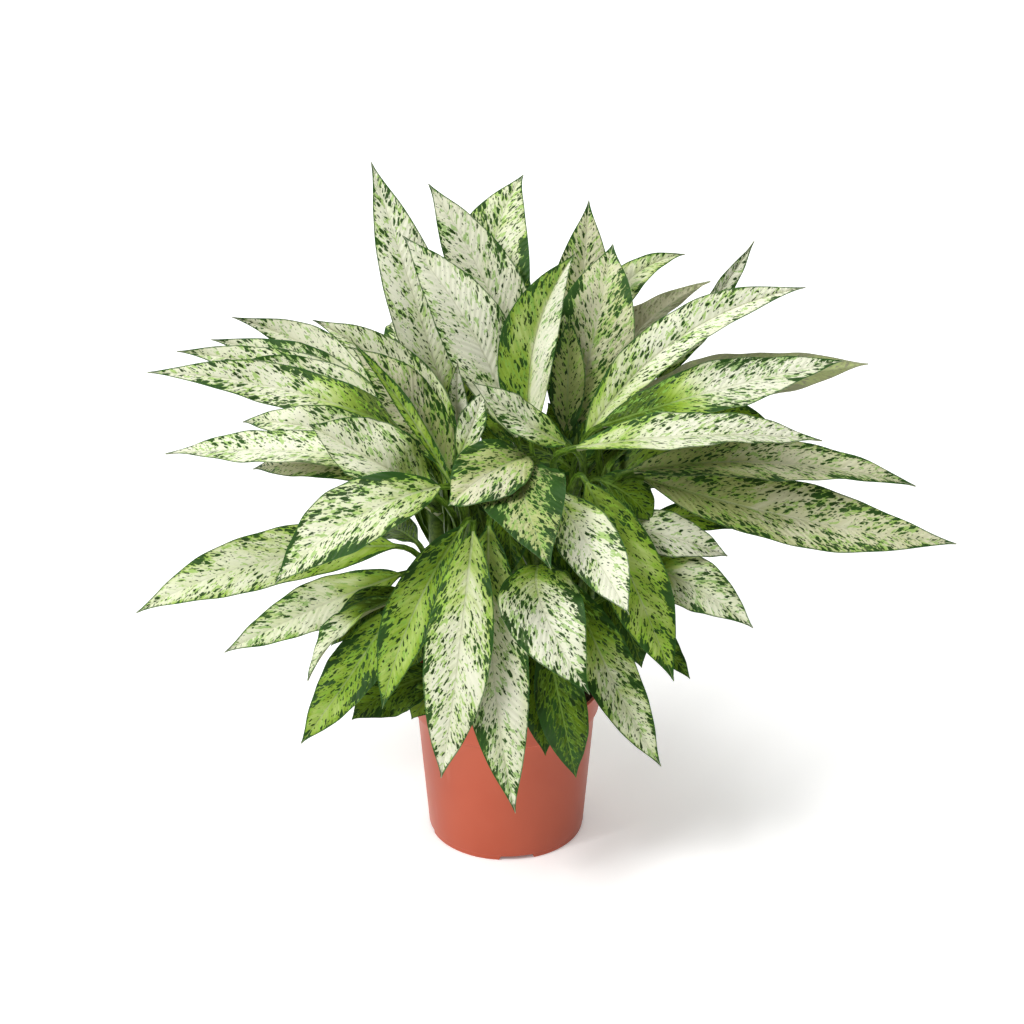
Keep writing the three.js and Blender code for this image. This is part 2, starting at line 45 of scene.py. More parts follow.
POT = {
    "height": 162,
    "rim_radius": 95,
    "rim_band": 27,
    "shoulder_radius": 89,
    "foot_radius": 77,
    "wall": 2.2,
    "foot_height": 5,
    "foot_width": 4,
    "pad_radius": 14,
}
NOTCH = {"count": 4, "width": 33, "first_angle": -82, "height": 4.4}
SOIL = {"top": 142, "mound": 5, "lumps": 2, "hole_depth": 56, "clear": 0.3, "chips": 420}
CANE = {
    "radius": 9,
    "crown_radius": 10,
    "scar_spacing": 22,
    "crown_length": 190,
    "spear_length": 50,
    "spear_radius": 5.6,
    "below_root": 6,
}
PETIOLE = {
    "root_half": 4.6,
    "foot_half": 2.8,
    "thickness": 5,
    "spacing": 15,
    "drop": 80,
    "sector": 55,
    "fold": 25,
    "bend": 0.4,
    "rise": 0.7,
    "above_soil": 14,
}
BLADE = {"thickness": 0.8, "rib_at_foot": 4.2, "rib_at_tip": 1.3, "wave": 2.6, "tip_half": 0.5}
BLADE_STEPS = [0, 0.08, 0.2, 0.34, 0.48, 0.62, 0.76, 0.89, 1]
PETIOLE_STEPS = 3
SIGHT_TILT = 25
MIRROR_AT = 0.48  # the share of the blade where its upper face looks at the light
VEIN_ANGLE = 38  # degrees between a side vein and the midrib
HALF_SHADE_AT, RIGHT_HALF = 0.2, 0.66  # a leaf whose left half is painted in shade beyond this is drawn with a narrower right half
FOUND_WITHIN = 0.02  # mm

CANES = {
    "a": ((-36, 4), (-45, -1, 365)),
    "b": ((-4, 48), (2, 50, 370)),
    "c": ((42, 36), (64, 34, 360)),
    "d": ((58, -14), (88, -9, 345)),
    "e": ((-46, -38), (-52, -42, 300)),
    "f": ((28, -46), (34, -36, 340)),
    "g": ((-54, 40), (-71, 46, 370)),
}

# Each leaf's cane, blade foot, blade tip, bow, width, roll, fold, sideways bow and looks.
# A young leaf is one piece with its cane in the frame.
LEAVES = [
    ("b", (-60, 90, 385), (-190, 285, 330), 40, 66, 0, 12, 0, "cream"),
    ("b", (-5, 105, 370), (-20, 330, 290), 45, 70, 0, 12, 0, "white"),
    ("c", (75, 95, 385), (175, 285, 330), 40, 68, 0, 12, 0, "cream"),
    ("b", (0, 85, 430), (-15, 225, 560), 25, 62, 0, 12, 0, "white"),
    ("b", (-35, 110, 300), (-70, 270, 165), 30, 58, 0, 12, 0, "green"),
    ("c", (40, 118, 300), (95, 265, 170), 30, 58, 0, 12, 0, "green"),
    ("g", (-110, 75, 360), (-180, 210, 325), 30, 58, 0, 12, 0, "cream"),
    ("d", (120, 60, 360), (230, 215, 325), 30, 60, 0, 12, 0, "cream"),
    ("g", (-80, 90, 425), (-105, 200, 470), 20, 58, 0, 12, 0, "cream", "young"),
    ("c", (60, 80, 425), (110, 215, 490), 20, 58, 0, 12, 0, "white", "young"),
    ("d", (112, 62, 392), (75, 22, 335), 4, 44, 0, 10, 0, "olive", "young"),
    ("b", (0, 60, 435), (17, 180, 622), 38, 82, 0, 10, -20, "spotted"),
    ("d", (145, 70, 445), (240, 130, 570), 0, 30, 50, 20, 0, "white", "young"),
    ("c", (85, 85, 453), (175, 150, 551), 38, 36, 0, 15, 0, "soft"),
    ("c", (56, 72, 400), (79, 115, 616), 0, 68, 0, 12, 3, "drab"),
    ("b", (20, 30, 435), (-73, 100, 637), 10, 70, 0, 12, 7, "pale"),
    ("a", (-47, 20, 420), (-124, 60, 670), 6, 60, 0, 12, -9, "white"),
    ("g", (-100, 45, 420), (-265, 110, 500), 18, 46, 0, 15, 0, "pale"),
    ("g", (-100, 35, 415), (-285, 90, 485), 16, 44, 0, 15, 0, "cream"),
    ("g", (-95, 20, 425), (-315, 70, 480), 16, 44, 0, 15, 0, "cream"),
    ("g", (-100, 18, 422), (-265, 50, 475), 16, 44, 0, 15, 0, "pale", "young"),
    ("a", (-75, -10, 420), (-340, 40, 470), 18, 48, 0, 15, 0, "tipped"),
    ("a", (-80, 10, 390), (-255, 60, 411), 10, 46, 0, 15, 0, "cream", "young"),
    ("a", (-80, 10, 380), (-245, 40, 370), 6, 40, 0, 15, 0, "drab", "young"),
    ("a", (-80, -10, 395), (-325, 20, 395), 8, 50, 20, 12, 0, "white"),
    ("c", (66, 16, 378), (0, 26, 405), 6, 46, 0, 12, 0, "dark", "young"),
    ("c", (90, 10, 435), (190, 30, 565), 30, 56, -115, 10, 0, "tan"),
    ("d", (110, 30, 450), (345, 50, 475), 2, 60, -115, 12, 0, "olive"),
    ("c", (63, 52, 395), (102, 140, 559), 10, 84, 0, 10, 4, "dusky"),
    ("c", (75, -8, 421), (280, 40, 555), 32, 50, 0, 25, 0, "white"),
    ("d", (110, 14, 398), (275, 70, 385), 28, 54, 0, 12, 0, "dark", "young"),
    ("d", (90, 5, 429), (318, 30, 486), 4, 60, -12, 12, 0, "rooted"),
    ("b", (10, 30, 400), (-15, 15, 470), 4, 50, 0, 12, 0, "olive", "young"),
    ("b", (10, 0, 420), (-95, 50, 600), 14, 68, 0, 12, 2, "plain"),
    ("c", (24, 0, 415), (64, 30, 591), 0, 70, 0, 24, -27, "halved"),
    ("d", (100, 30, 365), (195, 120, 330), 10, 56, 0, 10, 0, "olive", "young"),
    ("d", (155, 30, 370), (175, 60, 265), 20, 40, 0, 10, 0, "olive", "young"),
    ("d", (135, 0, 335), (285, 20, 326), 4, 36, 0, 10, 0, "fresh"),
    ("d", (130, -20, 386), (425, -40, 328), -8, 68, 0, 10, 0, "drab"),
    ("d", (120, 0, 385), (390, 0, 370), 16, 60, -20, 12, 0, "drab"),
    ("c", (65, -50, 430), (292, -45, 436), 8, 54, -22, 20, 0, "white"),
    ("a", (-44, -8, 408), (-44, -20, 503), 0, 26, 0, 30, 2, "white", "young"),
    ("a", (-58, -24, 378), (-180, 20, 530), 32, 72, 0, 45, 0, "cream"),
    ("a", (-52, -42, 404), (-141, -30, 522), 10, 54, 0, 12, 3, "drab"),
    ("a", (-50, -62, 398), (-139, -46, 534), 2, 15, 0, 20, 8, "fresh", "young"),
    ("b", (-43, -25, 410), (-20, -45, 486), 0, 30, 0, 25, -3, "white", "young"),
    ("a", (-70, -57, 388), (-180, -53, 455), 0, 76, 0, 28, 0, "cream"),
    ("c", (55, -30, 425), (-30, -60, 500), -4, 38, 0, 15, 0, "cream"),
    ("e", (-85, -10, 315), (-130, 90, 280), 8, 34, 0, 10, 0, "dark", "young"),
    ("a", (-62, -18, 350), (-105, 30, 335), 8, 34, 0, 10, 0, "olive", "young"),
    ("e", (-105, -40, 325), (-350, -60, 265), 20, 62, 0, 10, 0, "green"),
    ("a", (-60, -60, 395), (-210, -130, 330), 16, 66, 0, 12, 0, "patchy"),
    ("e", (-100, -60, 305), (-260, -120, 255), 4, 52, 0, 12, 0, "green"),
    ("e", (-100, -40, 280), (-165, -80, 240), 8, 36, 0, 12, 0, "dark", "young"),
    ("e", (-66, -72, 205), (-146, -100, 172), 8, 56, 0, 10, 0, "dark"),
    ("e", (-105, -70, 285), (-185, -120, 225), 16, 36, 40, 20, 0, "lime"),
    ("e", (-105, -80, 280), (-190, -150, 175), 0, 50, 0, 12, -3, "fresh"),
    ("f", (115, -55, 270), (175, -80, 205), 2, 30, 0, 10, 0, "dark", "young"),
    ("f", (24, -105, 255), (37, -148, 160), 8, 40, 0, 10, 0, "dark", "young"),
    ("f", (38, -100, 258), (66, -142, 133), 8, 48, 0, 10, 5, "deep"),
    ("d", (105, -50, 315), (230, -100, 270), 12, 56, 0, 10, 0, "lime"),
    ("d", (95, -20, 335), (210, -40, 315), 6, 46, 0, 10, 0, "white"),
    ("f", (60, -75, 305), (145, -150, 150), 8, 52, 0, 10, 14, "leafy"),
    ("f", (75, -50, 395), (155, -140, 235), 4, 64, 0, 10, 0, "shaded"),
    ("f", (2, -45, 372), (5, -90, 320), 8, 34, 0, 10, 0, "dark", "young"),
    ("f", (-16, -78, 364), (9, -182, 119), 28, 64, 0, 12, 14, "cream"),
    ("f", (45, -60, 390), (110, -180, 325), 2, 58, 0, 10, 0, "white"),
    ("f", (30, -50, 310), (75, -210, 260), 24, 76, 0, 8, 20, "edged"),
    ("f", (22, -52, 412), (40, -190, 375), 28, 84, 0, 10, 16, "mottled"),
    ("f", (20, -42, 418), (-52, -110, 399), 6, 66, 0, 16, 0, "grey"),
    ("e", (-40, -76, 362), (-115, -130, 200), 12, 50, 0, 15, 0, "fresh"),
    ("e", (-30, -94, 366), (-60, -166, 147), 30, 62, 0, 8, -14, "cream"),
]

# Small young leaves low inside the crown, in the shade of the others; their dark colours are
# painted shade.
SPRIGS = [
    ("b", (-37, 18, 359), (-21, 18, 286), 6, 42, 0, 10, 0, "deep"),
    ("f", (28, 5, 332), (12, -5, 275), 6, 36, 0, 10, 0, "deep"),
    ("c", (41, 12, 318), (76, 0, 246), 6, 42, 0, 10, 0, "deep"),
    ("d", (88, -30, 285), (130, -60, 206), 6, 48, 0, 10, 0, "dark"),
    ("d", (89, -18, 384), (138, -30, 346), 6, 46, 0, 10, 0, "dark"),
    ("c", (58, 38, 406), (60, 44, 525), 0, 34, 0, 10, 0, "dim"),
    ("b", (-1, 12, 400), (-28, 22, 443), 4, 36, 0, 10, 0, "deep"),
    ("c", (58, 35, 390), (40, 45, 437), 4, 34, 0, 10, 0, "deep"),
    ("g", (-44, 40, 430), (-38, 55, 472), 4, 30, 0, 10, 0, "olive"),
    ("c", (66, 30, 371), (104, 30, 433), 4, 36, 0, 10, 0, "deep"),
    ("e", (-64, -60, 268), (-93, -75, 212), 4, 36, 0, 10, 0, "dark"),
    ("e", (-63, -80, 199), (-89, -108, 177), 2, 30, 0, 10, 0, "olive"),
]

# Looks: how far the ground runs from cream to olive, how flecked it is, how dark the margin is,
# how much greener the blade's foot is than its tip, how far it is dulled to a drab grey-olive, and
# how much greener its left half is than its right. The olive end of the ground on leaves deep in
# the crown (olive, shaded, mottled, dim, dark, deep) is partly painted shade; the dulling is partly
# the leaf's own drab colour and partly painted shade; the greener half is painted shade on the half
# that lies in shadow, and a negative value puts it on the right half.
LOOKS = {
    "white": (0.02, 0.74, 0.45, 0.42, 0.0, 0.0),
    "plain": (0.01, 0.36, 0.60, 0.20, 0.05, 0.0),
    "pale": (0.04, 0.66, 0.66, 0.34, 0.20, 0.0),
    "cream": (0.10, 0.74, 0.60, 0.45, 0.15, 0.0),
    "soft": (0.26, 0.60, 0.50, 0.40, 0.1, 0.0),
    "edged": (0.06, 0.92, 1.00, 0.60, 0.0, 0.0),
    "patchy": (0.13, 0.84, 1.30, 0.28, 0.1, 0.0),
    "shaded": (0.57, 1.10, 1.30, 0.25, 0.1, 0.0),
    "mottled": (0.47, 1.20, 1.15, 0.80, 0.90, 0.10),
    "green": (0.20, 0.58, 0.60, 0.50, 0.0, 0.0),
    "fresh": (0.58, 0.96, 1.00, 0.10, 0.0, 0.0),
    "lime": (0.16, 0.70, 0.70, 1.35, 0.0, 0.0),
    "leafy": (0.24, 0.90, 0.80, 1.05, 0.0, 0.0),
    "halved": (0.27, 0.56, 0.45, 0.30, 0.1, 0.27),
    "drab": (0.18, 0.84, 0.62, 0.62, 0.92, 0.0),
    "grey": (0.22, 0.92, 0.70, 0.50, 0.95, -0.16),
    "tan": (0.02, 0.80, 0.50, 0.30, 0.9, 0.0),
    "olive": (0.70, 0.80, 0.60, 0.35, 0.1, 0.0),
    "dark": (0.92, 1.25, 1.00, 0.20, 0.0, 0.0),
    "deep": (1.05, 1.45, 1.20, 0.20, 0.0, 0.0),
    "dusky": (0.22, 0.94, 0.70, 0.60, 0.85, 0.0),
    "dim": (0.62, 1.10, 0.80, 0.30, 0.8, 0.0),
    "rooted": (0.02, 0.82, 0.70, 1.50, 0.0, 0.0),
    "tipped": (0.06, 0.88, 0.60, 1.45, 0.15, 0.0),
    "spotted": (0.20, 1.00, 0.75, 0.35, 0.1, 0.0),
}

MM = 0.001
UP = np.array([0.0, 0.0, 1.0])
LIGHT = np.array([0.0, -0.64, 0.77])
SIGHT = np.array([0.0, math.cos(math.radians(SIGHT_TILT)), -math.sin(math.radians(SIGHT_TILT))])
UPWARD = np.array([0.0, math.sin(math.radians(SIGHT_TILT)), math.cos(math.radians(SIGHT_TILT))])


def unit(v):
    return v / np.linalg.norm(v)


def square_to(v, normal):
    return unit(v - normal * np.dot(v, normal))


def smooth(low, high, x):
    t = np.clip((np.asarray(x, float) - low) / (high - low), 0, 1)
    return t * t * (3 - 2 * t)


# ---- meshes -----------------------------------------------------------------------------


def mesh_piece(name, points, faces, material, nodes=(), fields=None, sharp=35):
    """A piece of the object: points in millimetres, faces, and named values for each point."""
    mesh = bpy.data.meshes.new(name)
    mesh.from_pydata([tuple(p) for p in np.asarray(points) * MM], [], faces)
    mesh.validate()
    for field, values in (fields or {}).items():
        layer = mesh.attributes.new(field, "FLOAT_VECTOR", "POINT")
        layer.data.foreach_set("vector", np.asarray(values, np.float32).ravel())
    mesh.shade_smooth()
    mesh.set_sharp_from_angle(angle=math.radians(sharp))
    mesh.materials.append(material)
    piece = bpy.data.objects.new(name, mesh)
    bpy.context.scene.collection.objects.link(piece)
    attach(piece, "root")
    if nodes:
        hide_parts(*nodes)
    return piece


def tube_faces(rings, sides, closed_ends=True, offset=0):
    faces = []
    for i in range(rings - 1):
        for k in range(sides):
            a, b = offset + i * sides + k, offset + i * sides + (k + 1) % sides
            faces.append((a, b, b + sides, a + sides))
    if closed_ends:
        faces.append(tuple(offset + k for k in reversed(range(sides))))
        faces.append(tuple(offset + (rings - 1) * sides + k for k in range(sides)))
    return faces


def lathe(profile, segments, reshape=None):
    """A surface of revolution; the first and last profile points are on the axis."""
    points = [(0.0, 0.0, profile[0][1]), (0.0, 0.0, profile[-1][1])]
    inner = profile[1:-1]
    for s in range(segments):
        angle = 2 * math.pi * s / segments
        for r, z in inner:
            if reshape:
                r, z = reshape(r, z, angle)
            points.append((r * math.cos(angle), r * math.sin(angle), z))
    count = len(inner)
    faces = []
    for s in range(segments):
        a, b = 2 + s * count, 2 + ((s + 1) % segments) * count
        faces.append((0, b, a))
        for k in range(count - 1):
            faces.append((a + k, b + k, b + k + 1, a + k + 1))
        faces.append((a + count - 1, b + count - 1, 1))
    return points, faces


# ---- leaf shape -------------------------------------------------------------------------


def blade_half(share, width):
    share = np.clip(share, 1e-6, 1 - 1e-6)
    taper = 1 - 0.22 * smooth(0.84, 1, share)
    return (width / 2) * np.sin(math.pi * share**0.88) ** (0.78 + 0.25 * share * share) * taper


def bezier(points, t):
    """A Bezier curve's points and directions at the values t."""
    p = [np.asarray(q, float) for q in points]
    n = len(p) - 1
    t = np.asarray(t, float)[:, None]
    at = sum(math.comb(n, i) * (1 - t) ** (n - i) * t**i * p[i] for i in range(n + 1))
    step = [n * (p[i + 1] - p[i]) for i in range(n)]
    way = sum(math.comb(n - 1, i) * (1 - t) ** (n - 1 - i) * t**i * step[i] for i in range(n))
    return at, way / np.linalg.norm(way, axis=1)[:, None]


def cane_foot(cane):
    return np.array([*CANES[cane][0], SOIL["top"] - SOIL["hole_depth"] + 2], float)


def cane_axis(cane, z):
    foot, top = cane_foot(cane), np.array(CANES[cane][1], float)
    return foot + (top - foot) * (z - foot[2]) / (top[2] - foot[2])


def read_leaves(rows, first=0):
    leaves = []
    counts = {}
    for index, row in enumerate(rows, first):
        cane, foot, tip, bow, width, roll, fold, sweep, looks, *age = row
        leaf = {"index": index, "cane": cane, "young": bool(age), "node": "cane_" + cane}
        leaf |= {"foot": np.array(foot, float), "tip": np.array(tip, float), "bow": bow}
        leaf |= {"width": width, "roll": roll, "fold": fold, "sweep": sweep, "looks": LOOKS[looks]}
        if not age:
            counts[cane] = counts.get(cane, 0) + 1
            leaf["node"] = f"leaf_{cane}{counts[cane]}"
        leaves.append(leaf)
    return leaves


def place_roots(leaves):
    """Petioles leave their cane one above another on each side of it."""
    for cane in CANES:
        placed = []
        own = sorted((x for x in leaves if x["cane"] == cane), key=lambda x: -x["foot"][2])
        for leaf in own:
            height = max(leaf["foot"][2] - PETIOLE["drop"], SOIL["top"] + PETIOLE["above_soil"])
            height = min(height, CANES[cane][1][2] - CANE["below_root"])
            out = square_to(leaf["foot"] - cane_axis(cane, height), UP)

            def crowded(other):
                turn = math.degrees(math.acos(np.clip(np.dot(out, other[1]), -1, 1)))
                return abs(other[0] - height) < PETIOLE["spacing"] and turn < PETIOLE["sector"]

            while any(crowded(other) for other in placed):
                height -= 3
            out = square_to(leaf["foot"] - cane_axis(cane, height), UP)
            placed.append((height, out))
            leaf["out"], leaf["root"] = out, cane_axis(cane, height)


def midrib(leaf, petiole_shares, blade_shares):
    chord = unit(leaf["tip"] - leaf["foot"])
    rise = square_to(UP, chord)
    side = np.cross(chord, rise)
    middle = (leaf["foot"] + leaf["tip"]) / 2 + rise * 2 * leaf["bow"] + side * 2 * leaf["sweep"]
    blade = [leaf["foot"], middle, leaf["tip"]]
    reach = np.linalg.norm(leaf["foot"] - leaf["root"]) * PETIOLE["bend"]
    leave = leaf["root"] + (UP + leaf["out"]) * reach * PETIOLE["rise"]
    arrive = leaf["foot"] - unit(middle - leaf["foot"]) * reach
    stalk = [leaf["root"], leave, arrive, leaf["foot"]]
    first, first_way = bezier(stalk, petiole_shares)
    rest, rest_way = bezier(blade, blade_shares)
    return np.vstack([first, rest]), np.vstack([first_way, rest_way])


def corners_of(node):
    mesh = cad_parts[node].data
    flat = np.zeros(len(mesh.vertices) * 3, np.float32)
    mesh.vertices.foreach_get("co", flat)
    return flat.reshape(-1, 3).astype(float) / MM


def frame_shifts(leaves):
    """How far each station of a leaf lies along the line of sight in the frame's own mesh."""
    corners = {}
    missed = 0
    shares = [i / PETIOLE_STEPS - 1 for i in range(PETIOLE_STEPS)] + BLADE_STEPS
    for leaf in leaves:
        at, _ = midrib(leaf, [i / PETIOLE_STEPS for i in range(PETIOLE_STEPS)], BLADE_STEPS)
        found = [(-1.0, 0.0)]
        for k in range(1, len(shares)):
            for node in {"cane_" + leaf["cane"], leaf["node"]}:
                if node not in corners:
                    corners[node] = corners_of(node)
                apart = corners[node] - at[k]
                near = np.hypot(apart[:, 0], apart @ UPWARD) < FOUND_WITHIN
                if near.any():
                    found.append((shares[k], float(np.median((apart @ SIGHT)[near]))))
                    break
            else:
                missed += 1
        leaf["shifts"] = found
    print("leaf stations not found in the frame:", missed, "of", len(leaves) * (len(shares) - 1))


def smooth_line(knots, x):
    """A smooth curve through (x, y) knots."""
    kx, ky = np.array([k[0] for k in knots]), np.array([k[1] for k in knots])
    slope = np.gradient(ky, kx) if len(kx) > 2 else np.zeros(len(kx))
    i = np.clip(np.searchsorted(kx, x) - 1, 0, len(kx) - 2)
    h = kx[i + 1] - kx[i]
    t = (x - kx[i]) / h
    return (
        (2 * t**3 - 3 * t**2 + 1) * ky[i]
        + (t**3 - 2 * t**2 + t) * h * slope[i]
        + (-2 * t**3 + 3 * t**2) * ky[i + 1]
        + (t**3 - t**2) * h * slope[i + 1]
    )


ACROSS = 8  # steps from the midrib to the margin
PETIOLE_FINE, BLADE_FINE = 12, 46


def leaf_surface(leaf):
    """Rings of points round the leaf from root to tip, with where each point is on the blade."""
    stalk_t = np.arange(PETIOLE_FINE) / PETIOLE_FINE
    blade_t = np.linspace(0, 1, BLADE_FINE) ** 1.15
    at, _ = midrib(leaf, stalk_t, blade_t)
    share = np.concatenate([stalk_t - 1, blade_t])
    at = at + SIGHT * smooth_line(leaf["shifts"], share)[:, None]
    way = np.gradient(at, axis=0)
    way /= np.linalg.norm(way, axis=1)[:, None]
    centre = PETIOLE_FINE + int(np.searchsorted(blade_t, MIRROR_AT))
    facing = np.zeros_like(at)
    facing[centre] = square_to(LIGHT, way[centre])
    for i in range(centre + 1, len(at)):
        facing[i] = square_to(facing[i - 1], way[i])
    for i in range(centre - 1, -1, -1):
        facing[i] = square_to(facing[i + 1], way[i])
    lengths = np.concatenate([[0], np.cumsum(np.linalg.norm(np.diff(at, axis=0), axis=1))])
    lengths -= lengths[PETIOLE_FINE]

    rng = random.Random(leaf["index"] * 7 + 3)
    lean = rng.uniform(-0.05, 0.05)
    ripple_phase = [rng.uniform(0, 6.28) for _ in range(2)]
    arch = rng.uniform(0.6, 1.2)
    steps = np.linspace(0, 1, ACROSS + 1) ** 0.9
    lanes = np.concatenate([-steps[::-1], steps[1:]])
    rings, veins, places = [], [], []
    slant = 1 / math.tan(math.radians(VEIN_ANGLE))
    # a leaf with one half painted in shade has its right half drawn narrower
    half_in_shade = leaf["looks"][5] > HALF_SHADE_AT
    thin, stem_fold = BLADE["thickness"], math.radians(PETIOLE["fold"])
    for i, s in enumerate(share):
        roll = math.radians(leaf["roll"]) * min(1, (s + 1) * 0.77)
        side = -np.cross(
            facing[i] * math.cos(roll)
            + np.cross(way[i], facing[i]) * math.sin(roll),
            way[i],
        )
        up = -np.cross(way[i], side)
        in_blade = float(smooth(0, 0.06, s))
        swell = (PETIOLE["root_half"] - PETIOLE["foot_half"]) * min(1, max(0, -s))
        stem = PETIOLE["foot_half"] + swell
        half = stem
        if s > 0:
            half = max(float(blade_half(s, leaf["width"])), stem * (1 - s), BLADE["tip_half"] * 0.6)
        fold_blade = math.radians(leaf["fold"])
        fold = stem_fold + (fold_blade - stem_fold) * float(smooth(0, 0.13, s))
        swing = math.sin(math.pi * min(max(s, 0), 1))
        wave = BLADE["wave"] * swing
        small = 0.9 * swing * min(1, leaf["width"] / 50)
        top, bottom = [], []
        for lane in lanes:
            way_out = 1 if lane > 0 else -1
            reach = abs(lane)
            wide = half * (1 + lean * way_out * in_blade)
            if half_in_shade and lane > 0:
                wide *= RIGHT_HALF
            phase = leaf["index"] * 1.7 + way_out
            ripple = wave * math.sin(2 * math.pi * 2.1 * s + phase) * reach**1.6
            ripple += small * math.sin(2 * math.pi * 6.3 * s + ripple_phase[way_out > 0]) * reach**3
            ripple += in_blade * arch * math.sin(math.pi * reach) * min(1, half / 20)
            ripple -= in_blade * 0.5 * math.exp(-((reach * half / 1.6) ** 2))
            across = lane * wide * math.cos(fold)
            height = reach * wide * math.sin(fold) + ripple
            rib = BLADE["rib_at_foot"] + (BLADE["rib_at_tip"] - BLADE["rib_at_foot"]) * max(s, 0)
            keel = (rib - thin) * math.exp(-((reach * half / (0.5 + rib * 0.45)) ** 2))
            blade_deep = (thin + keel) * (1 - 0.6 * reach**6)
            round_off = math.sqrt(max(0.0, 1 - 0.93 * lane * lane)) * 0.95
            stalk_deep = PETIOLE["thickness"] * round_off
            deep = stalk_deep + (blade_deep - stalk_deep) * in_blade
            place = at[i] + side * across + up * height
            top.append(place)
            bottom.append(place - up * deep)
        rings.append(top + bottom[::-1])
        across_mm, none = lanes * half, 0 * lanes
        along_mm = lengths[i] - np.abs(across_mm) * slant
        vein = np.stack([along_mm, across_mm * 1.27, none], axis=1)
        where = np.stack([none + s, np.abs(lanes), none + half / 10], axis=1)
        veins.append(np.vstack([vein, vein[::-1]]))
        places.append(np.vstack([where, where[::-1]]))
    sides = 2 * len(lanes)
    flags = np.concatenate([np.zeros(len(lanes)), np.ones(len(lanes))])
    halves = np.clip(np.concatenate([lanes, lanes[::-1]]) * 12, -1, 1)
    return {
        "rings": np.array(rings),
        "halves": np.tile(halves, (len(share), 1)),
        "veins": np.array(veins),
        "places": np.array(places),
        "under": np.tile(flags, (len(share), 1)),
        "sides": sides,
    }


def leaf_fields(leaf, surface, part):
    """The named values that the leaf's material reads at each point."""
    rings = surface["rings"][part]
    count = rings.shape[0] * rings.shape[1]
    tone, flecks, margin, foot, drab_and_shade, half_shade = leaf["looks"]
    veins = surface["veins"][part].reshape(-1, 3).copy()
    veins[:, 2] = leaf["index"] * 61.7
    looks = np.tile([tone, flecks, margin], (count, 1))
    # painted shade: the half of the blade that lies in shadow gets a greener ground, and a shaded
    # left half more flecks
    halves = surface["halves"][part].ravel()
    looks[:, 0] -= half_shade * halves
    looks[:, 1] -= 1.5 * max(half_shade, 0) * halves
    under = surface["under"][part].ravel()
    own = (leaf["index"] * 0.381) % 1
    extras = np.stack([under, np.full(count, foot), np.full(count, own)], axis=1)
    return {
        "vein": veins * MM,
        "place": surface["places"][part].reshape(-1, 3),
        "looks": looks,
        "extras": extras,
        "drab_and_shade_mix": np.tile([drab_and_shade, 0.0, 0.0], (count, 1)),
    }


def leaf_piece(leaf, surface, material):
    part = slice(PETIOLE_FINE, None)
    rings = surface["rings"][part]
    own = f"young{leaf['index']}" if leaf["young"] else leaf["node"].removeprefix("leaf_")
    mesh_piece(
        "blade_" + own,
        rings.reshape(-1, 3),
        tube_faces(len(rings), surface["sides"]),
        material,
        nodes=[leaf["node"]] if leaf["node"] else [],
        fields=leaf_fields(leaf, surface, part),
        sharp=60,
    )


# ---- canes ------------------------------------------------------------------------------


def cane_rings(cane, sides=20):
    """Rings up a cane with its leaf scars, crown and rolled top leaf, and their shares of it."""
    foot, top = cane_foot(cane), np.array(CANES[cane][1], float)
    length = np.linalg.norm(top - foot)
    way = unit(top - foot)
    bare = length - CANE["crown_length"]
    stout, crown = CANE["radius"], CANE["crown_radius"]
    spots = []
    s = 0.0
    while s < bare + CANE["scar_spacing"]:
        spots += [(s, stout), (s + 9, stout - 0.1), (s + 17, stout + 0.3)]
        spots += [(s + 19.2, crown), (s + 20.4, crown - 0.2), (s + 21.2, stout + 0.1)]
        s += CANE["scar_spacing"]
    while s < length - 4:
        spots.append((s, crown - 0.6 + 0.4 * math.sin(s * 0.35)))
        s += 8
    spots += [(length, crown - 0.5), (length + 5, 7.6), (length + 10, 6.2)]
    for k in range(1, 10):
        taper = 1 - (k / 9) ** 1.6
        up = length + 10 + (CANE["spear_length"] - 10) * k / 9
        spots.append((up, CANE["spear_radius"] * taper + 0.5))
    sideways = square_to(np.array([1.0, 0, 0]), way)
    forwards = np.cross(way, sideways)
    rings = []
    for spot, radius in spots:
        centre = foot + way * spot
        ring = []
        for k in range(sides):
            angle = 2 * math.pi * k / sides
            # the rolled leaf at the top overlaps itself along one side
            roll = 1 + 0.12 * smooth(length, length + 12, spot) * ((k / sides) - 0.5)
            out = sideways * math.cos(angle) + forwards * math.sin(angle)
            ring.append(centre + out * radius * float(roll))
        rings.append(ring)
    return np.array(rings), np.array([s for s, _ in spots]) / length


def cane_piece(cane, leaves, surfaces, material):
    """A cane with the petioles of its leaves."""
    rings, shares = cane_rings(cane)
    sides = rings.shape[1]
    points = [rings.reshape(-1, 3)]
    faces = tube_faces(len(rings), sides)
    place = np.zeros((len(rings) * sides, 3))
    place[:, 0] = np.repeat(shares, sides)
    vein = np.zeros_like(place)
    vein[:, 0] = np.repeat(shares, sides) * 250 * MM
    vein[:, 1] = np.tile(np.sin(np.arange(sides) / sides * 2 * math.pi), len(rings)) * 12 * MM
    vein[:, 2] = 0.07 * (ord(cane) - 90)
    fields = {"vein": [vein], "place": [place]}
    count = len(points[0])
    for leaf, surface in zip(leaves, surfaces):
        if leaf["cane"] != cane:
            continue
        part = slice(0, PETIOLE_FINE + 1)
        own = leaf_fields(leaf, surface, part)
        stalk = surface["rings"][part].copy()
        faces += tube_faces(len(stalk), surface["sides"], offset=count)
        points.append(stalk.reshape(-1, 3))
        stalk_place = own["place"].copy()
        stalk_place[:, 0] += 3.0
        fields["place"].append(stalk_place)
        fields["vein"].append(own["vein"])
        count += points[-1].shape[0]
    mesh_piece(
        "stem_" + cane,
        np.vstack(points),
        faces,
        material,
        nodes=["cane_" + cane],
        fields={name: np.vstack(parts) for name, parts in fields.items()},
        sharp=60,
    )


# ---- pot and soil -----------------------------------------------------------------------


